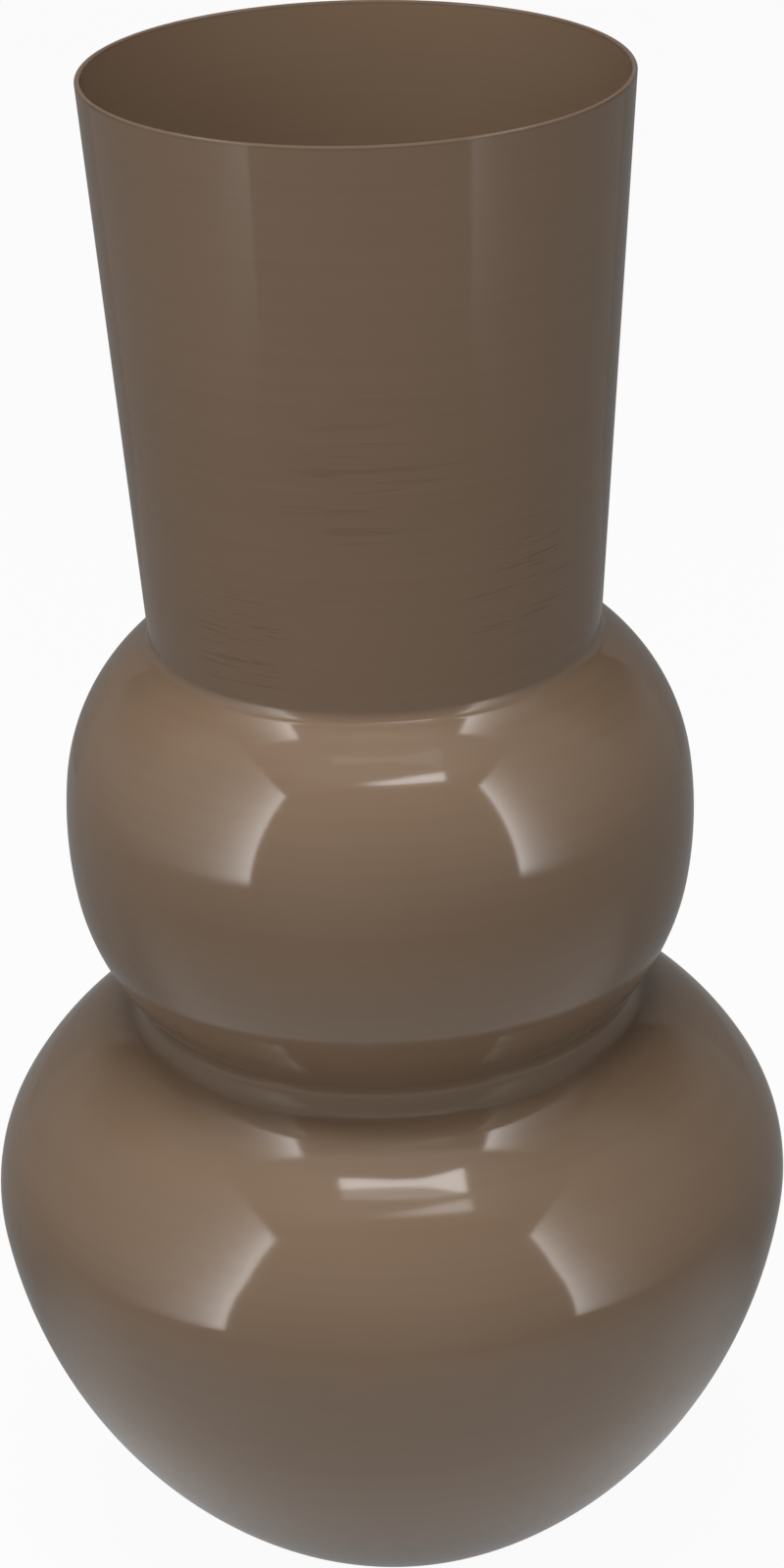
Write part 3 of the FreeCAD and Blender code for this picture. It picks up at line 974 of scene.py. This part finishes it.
@dataclass
class FeltPads:
    """The felt pads under the flat bottom: sizes in millimetres."""

    finishes: Finishes
    height: float
    bottom_radius: float
    count: int = 4
    radius: float = 7.0
    inset: float = 5.0
    edge: float = 0.35
    edge_steps: int = 4
    segments: int = 72
    rings: int = 14
    unevenness: float = 0.05
    matted_share: float = 0.8
    matting: tuple[float, float] = (1.9, 3.1)
    fine_share: float = 0.5
    pad_seed: float = 700.0

    def build(self) -> None:
        """Make each pad where its CAD solid stands."""
        reach = self.bottom_radius - self.inset - self.radius
        for index in range(self.count):
            angle = FULL_TURN * (index + 0.5) / self.count
            centre = Vector((reach * math.cos(angle), reach * math.sin(angle), 0.0)) * MM
            piece = self.pad(f"felt_pad_{index + 1}", centre)
            dress(piece, "felt_pads", self.finishes.felt)

    def outline(self) -> list[Point]:
        """Work out a pad's outline.

        Returns:
            Its points from the centre of its top to the centre of its underside, in millimetres.
        """
        top, edge = self.height, self.edge
        places = [(self.radius - edge) * (n / self.rings) for n in range(self.rings + 1)]
        upper = [(place, top) for place in places]
        steps = self.edge_steps
        turns = [math.pi / 2 * (1 - n / steps) for n in range(1, steps + 1)]
        bend = [(self.radius - edge + edge * math.cos(t), top - edge + edge * math.sin(t)) for t in turns]
        return upper + bend + [(r, top - z) for r, z in reversed(upper + bend)]

    def pad(self, name: str, centre: Vector) -> bpy.types.Object:
        """Make one pad with a cut, slightly matted edge.

        Args:
            name: the pad's name.
            centre: its centre on the ground, in metres.

        Returns:
            The pad.
        """
        vertices, faces = [], []
        rings: list[list[int]] = []
        coarse, fine = self.matting
        share = self.fine_share
        for across, height in self.outline():
            first = len(vertices)
            if across < ON_AXIS:
                vertices.append(centre + Vector((0.0, 0.0, height * MM)))
                rings.append([first] * self.segments)
                continue
            for turn in range(self.segments):
                angle = FULL_TURN * turn / self.segments
                way = Vector((math.cos(angle), math.sin(angle), 0.0))
                spot = way * across + Vector((0.0, 0.0, height))
                seed = spot * coarse + centre * self.pad_seed
                edge = max(0.0, across / self.radius - self.matted_share) / (1 - self.matted_share)
                rough = noise.noise(seed) + share * noise.noise(seed * fine)
                shrink = self.unevenness * (rough - (1 + share)) * edge
                vertices.append(centre + (spot + way * shrink) * MM)
            rings.append(list(range(first, first + self.segments)))
        for below, above in zip(rings, rings[1:]):
            for turn in range(self.segments):
                following = (turn + 1) % self.segments
                corners = [below[turn], above[turn], above[following], below[following]]
                faces.append([c for n, c in enumerate(corners) if c != corners[n - 1]])
        return add_mesh(name, vertices, faces)


# The photo tent, the floor and the camera

# Works out a glow's strength from the bench of its material and the place's X, Y and Z
Level = Callable[[NodeBench, dict[str, Socket]], Socket]


@dataclass(frozen=True)
class Panel:
    """A flat sheet of the stage: its corners go round it, in metres."""

    name: str
    corners: tuple[tuple[float, float, float], ...]

    def build(self, material: bpy.types.Material, shown: bool = False) -> bpy.types.Object:
        """Make the panel.

        Args:
            material: its material.
            shown: whether the camera sees it.

        Returns:
            The panel.
        """
        panel = add_mesh(self.name, self.corners, [tuple(range(len(self.corners)))], smooth=False)
        panel.data.materials.append(material)
        panel.visible_camera = shown
        panel.visible_diffuse = shown
        panel.visible_shadow = shown
        return panel


@dataclass(frozen=True)
class Shine:
    """The glow along a side wall's open front edge, as one of the vase's forms mirrors it: metres and levels.

    Its side is -1 for the left wall and 1 for the right one. Its front edge has one depth at the floor
    and one under the ceiling. Its peak is there, and it falls to about a third over its fade. It starts
    between the heights of its foot and ends at its head.
    """

    zone: Zone
    side: int
    front: tuple[float, float]
    peak: float
    fade: float
    foot: tuple[float, float]
    head: float


@dataclass
class Tent:
    """A white photo tent, open towards the camera: sizes in metres, levels as shares of white.

    Its walls, ceiling and light bars are there for the lacquer to mirror. The room and the lamps give
    the light that falls on the vase. A part that only some shells mirror is see-through, as the others
    would find it black, and no two such parts lie in one plane.
    """

    half_width: float = 0.50
    back: float = 0.55
    top: float = 0.79
    wall_front: tuple[float, float] = (-0.49, -0.59)
    wall_level: float = 0.25
    shade_depths: tuple[float, float] = (0.0, 0.16)
    shade_heights: tuple[float, float] = (0.25, 0.45)
    shines: tuple[Shine, ...] = (
        Shine(Zone.LOWER, -1, (-0.51, -0.62), 7.4, 0.112, (-0.06, 0.05), 0.73),
        Shine(Zone.LOWER, 1, (-0.49, -0.57), 6.4, 0.085, (-0.06, 0.05), 0.62),
        Shine(Zone.UPPER, -1, (-0.484, -0.594), 7.2, 0.13, (0.07, 0.16), 0.79),
        Shine(Zone.UPPER, 1, (-0.472, -0.552), 8.2, 0.085, (0.07, 0.16), 0.79),
        Shine(Zone.NECK, -1, (-0.49, -0.60), 1.2, 0.13, (0.00, 0.16), 0.79),
        Shine(Zone.NECK, 1, (-0.48, -0.56), 1.2, 0.085, (0.00, 0.16), 0.79),
    )
    ceiling_front: float = -0.56
    ceiling_level: float = 0.50
    ceiling_fade: float = 0.25
    window_level: float = 0.10
    window_half: float = 0.246
    window_soft: float = 0.004
    window_front: tuple[float, float] = (-0.175, -0.145)
    window_back: tuple[float, float] = (0.18, 0.10)
    window_glow: tuple[float, float] = (7.5, 0.05)
    back_level: float = 0.20
    bar_drop: float = 0.004
    shine_gap: float = 0.001
    rear_bar: tuple[Point, ...] = (
        *((-0.165, -0.35), (-0.16, -0.29), (0.0, -0.314), (0.08, -0.311), (0.145, -0.285)),
        *((0.20, -0.254), (0.238, -0.396), (0.165, -0.378), (0.10, -0.357)),
    )
    rear_level: float = 7.0
    rear_haze: float = 1.2
    front_bar: tuple[Point, ...] = (
        *((-0.16, -0.522), (0.05, -0.494), (0.255, -0.431), (0.285, -0.503), (0.136, -0.528)),
        (-0.01, -0.538),
    )
    front_start: float = -0.16
    front_levels: tuple[tuple[Zone, float, float], ...] = ((Zone.UPPER, 7.6, 0.06), (Zone.LOWER, 3.6, 0.20))
    flap: tuple[Point, ...] = (
        *((-0.166, -0.352), (0.10, -0.359), (0.165, -0.380), (0.22, -0.395), (0.22, -0.407)),
        *((0.12, -0.428), (0.0, -0.430), (-0.166, -0.408)),
    )
    flap_level: float = 2.0

    def glow(self, name: str, level: Level | float, clear: bool = False) -> bpy.types.Material:
        """Make a glowing material.

        Args:
            name: its name.
            level: its strength, or what works it out.
            clear: whether what stands behind it shows through.

        Returns:
            The material.
        """
        material, bench = new_material(name)
        if callable(level):
            place = bench.place()
            level = level(bench, {axis: bench.axis(place, axis) for axis in "XYZ"})
        light = bench.node("Emission", inputs={"Strength": level})
        if clear:
            light = bench.node("AddShader", inputs={0: light, 1: bench.node("BsdfTransparent")})
        bench.surface(light)
        return material

    def wall(
        self, name: str, side: float, front: tuple[float, float], height: float, material: bpy.types.Material
    ) -> bpy.types.Object:
        """Put up a side wall.

        Args:
            name: the wall's name.
            side: its place across.
            front: its front edge's depth at the floor and under the ceiling.
            height: how high it goes.
            material: its material.

        Returns:
            The wall.
        """
        edge = front[0] + (front[1] - front[0]) * height / self.top
        corners = (
            (side, front[0], 0.0),
            (side, self.back, 0.0),
            (side, self.back, height),
            (side, edge, height),
        )
        return Panel(name, corners).build(material)

    def shine(self, shine: Shine, step: int) -> bpy.types.Object:
        """Hang a glow just inside its wall.

        Args:
            shine: what it is like.
            step: its place in the row, as no two may lie in one plane.

        Returns:
            The glow.
        """
        lean = (shine.front[1] - shine.front[0]) / self.top

        def level(bench: NodeBench, axes: dict[str, Socket]) -> Socket:
            """Brightest along the front edge, which leans."""
            behind = axes["Y"] - (axes["Z"] * lean + shine.front[0])
            return math.e ** (behind * (-1 / shine.fade)) * shine.peak * bench.smooth(axes["Z"], *shine.foot)

        place = shine.side * (self.half_width - step * self.shine_gap)
        cloth = self.glow("tent_shine", level, clear=True)
        return self.wall("tent_shine", place, shine.front, shine.head, cloth)

    def overhead(
        self, name: str, places: Sequence[Point], step: int, material: bpy.types.Material
    ) -> bpy.types.Object:
        """Hang a part of the tent's top, so many steps below the ceiling."""
        height = self.top - step * self.bar_drop
        return Panel(name, tuple((across, depth, height) for across, depth in places)).build(material)

    def ceiling_light(self, bench: NodeBench, axes: dict[str, Socket]) -> Socket:
        """The ceiling's glow, with a dark window and a bright strip along each side of it.

        Args:
            bench: the bench of the ceiling's material.
            axes: the place's X, Y and Z.

        Returns:
            Its strength.
        """
        peak, fade = self.window_glow
        beyond = bench.maths("ABSOLUTE", axes["X"]) - self.window_half
        strip = math.e ** (beyond * (-1 / fade)) * bench.smooth(axes["Y"], *self.window_back)
        outside = bench.smooth(beyond, -self.window_soft, self.window_soft)
        behind = bench.smooth(axes["Y"], *self.window_front)
        lit = bench.smooth(beyond, self.ceiling_fade, 0.0)
        plain = lit * (self.ceiling_level - self.wall_level) + self.wall_level
        window = (1 - outside) * behind
        return plain * (1 - window) + window * self.window_level + outside * strip * behind * peak

    def wall_light(self, bench: NodeBench, axes: dict[str, Socket]) -> Socket:
        """The side walls' glow, which is plain, but dark high up towards the back."""
        dark = bench.smooth(axes["Y"], *self.shade_depths) * bench.smooth(axes["Z"], *self.shade_heights)
        return (1 - dark) * self.wall_level

    def ramp(self, peak: float, reach: float) -> Level:
        """Make a level that rises from the front bar's left end.

        Args:
            peak: its highest value.
            reach: how far to the right it gets there.

        Returns:
            The level.
        """

        def level(bench: NodeBench, axes: dict[str, Socket]) -> Socket:
            """The level at a place."""
            return bench.smooth(axes["X"], self.front_start, reach) * peak

        return level

    def bars(self, zones: dict[Zone, bpy.types.Collection]) -> None:
        """Hang the two light bars over the open front, and the lit flap between them.

        Args:
            zones: the shells of each of the vase's forms.
        """
        haze = self.glow("tent_bar_haze", self.rear_haze)
        self.overhead("tent_rear_bar_haze", self.rear_bar, 1, haze)
        beam = self.glow("tent_bar_beam", self.rear_level, clear=True)
        cloth = self.glow("tent_flap", self.flap_level, clear=True)
        parts = [
            (Zone.LOWER, self.overhead("tent_rear_bar", self.rear_bar, 2, beam)),
            (Zone.LOWER, self.overhead("tent_flap", self.flap, 1, cloth)),
        ]
        for step, (zone, peak, reach) in enumerate(self.front_levels, 1):
            side = self.glow("tent_bar_side", self.ramp(peak, reach), clear=True)
            parts.append((zone, self.overhead("tent_front_bar", self.front_bar, step, side)))
        for zone, part in parts:
            part.light_linking.receiver_collection = zones[zone]

    def build(self, zones: dict[Zone, bpy.types.Collection]) -> None:
        """Put up the tent.

        Args:
            zones: the shells of each of the vase's forms.
        """
        plain = self.glow("tent_wall", self.wall_light)
        for side in (-1, 1):
            self.wall("tent_side", side * self.half_width, self.wall_front, self.top, plain)
        for step, shine in enumerate(self.shines, 1):
            self.shine(shine, step).light_linking.receiver_collection = zones[shine.zone]
        wide, front, back, top = self.half_width, self.ceiling_front, self.back, self.top
        corners = ((-wide, back, 0.0), (wide, back, 0.0), (wide, back, top), (-wide, back, top))
        Panel("tent_back", corners).build(self.glow("tent_back", self.back_level))
        places = ((-wide, front), (wide, front), (wide, back), (-wide, back))
        self.overhead("tent_ceiling", places, 0, self.glow("tent_ceiling", self.ceiling_light))
        self.bars(zones)


@dataclass(frozen=True)
class Lamp:
    """A soft lamp that lights the vase and isn't mirrored in it: metres, and a share of white."""

    name: str
    place: tuple[float, float, float]
    aim: tuple[float, float, float]
    size: tuple[float, float]
    level: float

    def build(self) -> None:
        """Hang the lamp."""
        light = bpy.data.lights.new(self.name, "AREA")
        light.shape = "RECTANGLE"
        light.size, light.size_y = self.size
        light.energy = self.level * math.pi * self.size[0] * self.size[1]
        lamp = bpy.data.objects.new(self.name, light)
        bpy.context.collection.objects.link(lamp)
        lamp.location = self.place
        lamp.rotation_euler = (Vector(self.aim) - Vector(self.place)).to_track_quat("-Z", "Y").to_euler()
        lamp.visible_camera = False
        lamp.visible_glossy = False


@dataclass
class Studio:
    """The floor, the white surroundings that the camera sees, and the room's dim light."""

    floor_half: float = 6.0
    floor_front: tuple[float, float] = (0.06, -0.06)
    floor_colour: Colour = (0.45, 0.45, 0.45)
    floor_white: float = 0.95
    floor_mirrored: float = 0.46
    floor_dim: float = 0.25
    floor_shade: tuple[float, float] = (0.03, 0.10)
    floor_fade: tuple[float, float] = (0.50, 0.15)
    sky_level: float = 0.36
    room_level: float = 0.20
    lamps: tuple[Lamp, ...] = (
        Lamp("front_lamp", (0.0, -1.0, 0.42), (0.0, 0.0, 0.22), (1.2, 0.8), 1.05),
        Lamp("left_lamp", (-0.5, -0.3, 0.40), (0.0, 0.0, 0.30), (0.43, 0.8), 0.65),
        Lamp("top_lamp", (-0.05, -0.18, 1.1), (0.0, 0.0, 0.25), (0.7, 0.28), 17.2),
    )

    def floor(self) -> None:
        """Lay a pale floor that looks white and keeps the vase's shadow."""
        material, bench = new_material("pale_floor")
        seen = bench.node("LightPath", output="Is Camera Ray")
        mirrored = bench.node("LightPath", output="Is Glossy Ray")
        place = bench.place()
        reach = bench.node("VectorMath", {"operation": "LENGTH"}, {0: place}, "Value")
        before = bench.smooth(bench.axis(place, "Y"), *self.floor_front)
        bright = bench.smooth(reach, *self.floor_shade) * bench.smooth(reach, *self.floor_fade) * before
        level = seen + mirrored * (bright * self.floor_mirrored + self.floor_dim)
        matt = bench.node("BsdfDiffuse", inputs={"Color": (*self.floor_colour, 1.0)})
        white = bench.node("Emission", inputs={"Color": WHITE, "Strength": level})
        share = seen * self.floor_white + mirrored
        bench.surface(bench.node("MixShader", inputs={0: share, 1: matt, 2: white}))
        half = self.floor_half
        corners = ((-half, -half, 0.0), (half, -half, 0.0), (half, half, 0.0), (-half, half, 0.0))
        Panel("floor", corners).build(material, shown=True)

    def surroundings(self) -> None:
        """Fill the world with white for the camera and dim light for everything else."""
        world = bpy.data.worlds.new("white_room")
        world.use_nodes = True
        bench = NodeBench(world.node_tree)
        seen = bench.node("LightPath", output="Is Camera Ray")
        mirrored = bench.node("LightPath", output="Is Glossy Ray")
        level = self.sky_level + mirrored * (self.room_level - self.sky_level) + seen * (1 - self.sky_level)
        sky = bench.node("Background", inputs={"Color": WHITE, "Strength": level})
        bench.node("OutputWorld", inputs={"Surface": sky})
        bpy.context.scene.world = world

    def build(self) -> None:
        """Make the floor and the world."""
        self.floor()
        self.surroundings()
        for lamp in self.lamps:
            lamp.build()
        bpy.context.scene.view_settings.view_transform = "Standard"


@dataclass(frozen=True)
class Camera:
    """The photograph's viewpoint: metres, degrees and shares of the frame's height."""

    distance: float = 0.8484
    height: float = 0.6054
    pitch: float = 24.17
    yaw: float = 2.78
    roll: float = -0.80
    lens_share: float = 2.4654
    sensor: float = 36.0
    shift: tuple[float, float] = (-0.1001, -0.0563)
    reach: tuple[float, float] = (0.01, 50.0)

    def build(self) -> None:
        """Set up the camera."""
        pitch, yaw, roll = (math.radians(value) for value in (self.pitch, self.yaw, self.roll))
        ahead = Vector((math.sin(yaw) * math.cos(pitch), math.cos(yaw) * math.cos(pitch), -math.sin(pitch)))
        level = Vector((math.cos(yaw), -math.sin(yaw), 0.0))
        upright = level.cross(ahead)
        right = level * math.cos(roll) + upright * math.sin(roll)
        up = upright * math.cos(roll) - level * math.sin(roll)
        lens = bpy.data.cameras.new("photo_camera")
        lens.sensor_width = self.sensor
        lens.lens = self.lens_share * self.sensor
        lens.shift_x, lens.shift_y = self.shift
        lens.clip_start, lens.clip_end = self.reach
        camera = bpy.data.objects.new("photo_camera", lens)
        bpy.context.collection.objects.link(camera)
        turn = Matrix((right, up, -ahead)).transposed().to_4x4()
        camera.matrix_world = Matrix.Translation((0.0, -self.distance, self.height)) @ turn
        bpy.context.scene.camera = camera


def main() -> None:
    """Build the camera, the vase and its surroundings in order."""
    logging.basicConfig(level=logging.INFO, format="%(name)s: %(message)s")
    Camera().build()
    finishes = Finishes.make()
    vase = Vase(finishes)
    zones = vase.build()
    FeltPads(finishes, vase.pad_height, vase.bottom_radius).build()
    Tent().build(zones)
    Studio().build()


if __name__ == "__main__":
    main()
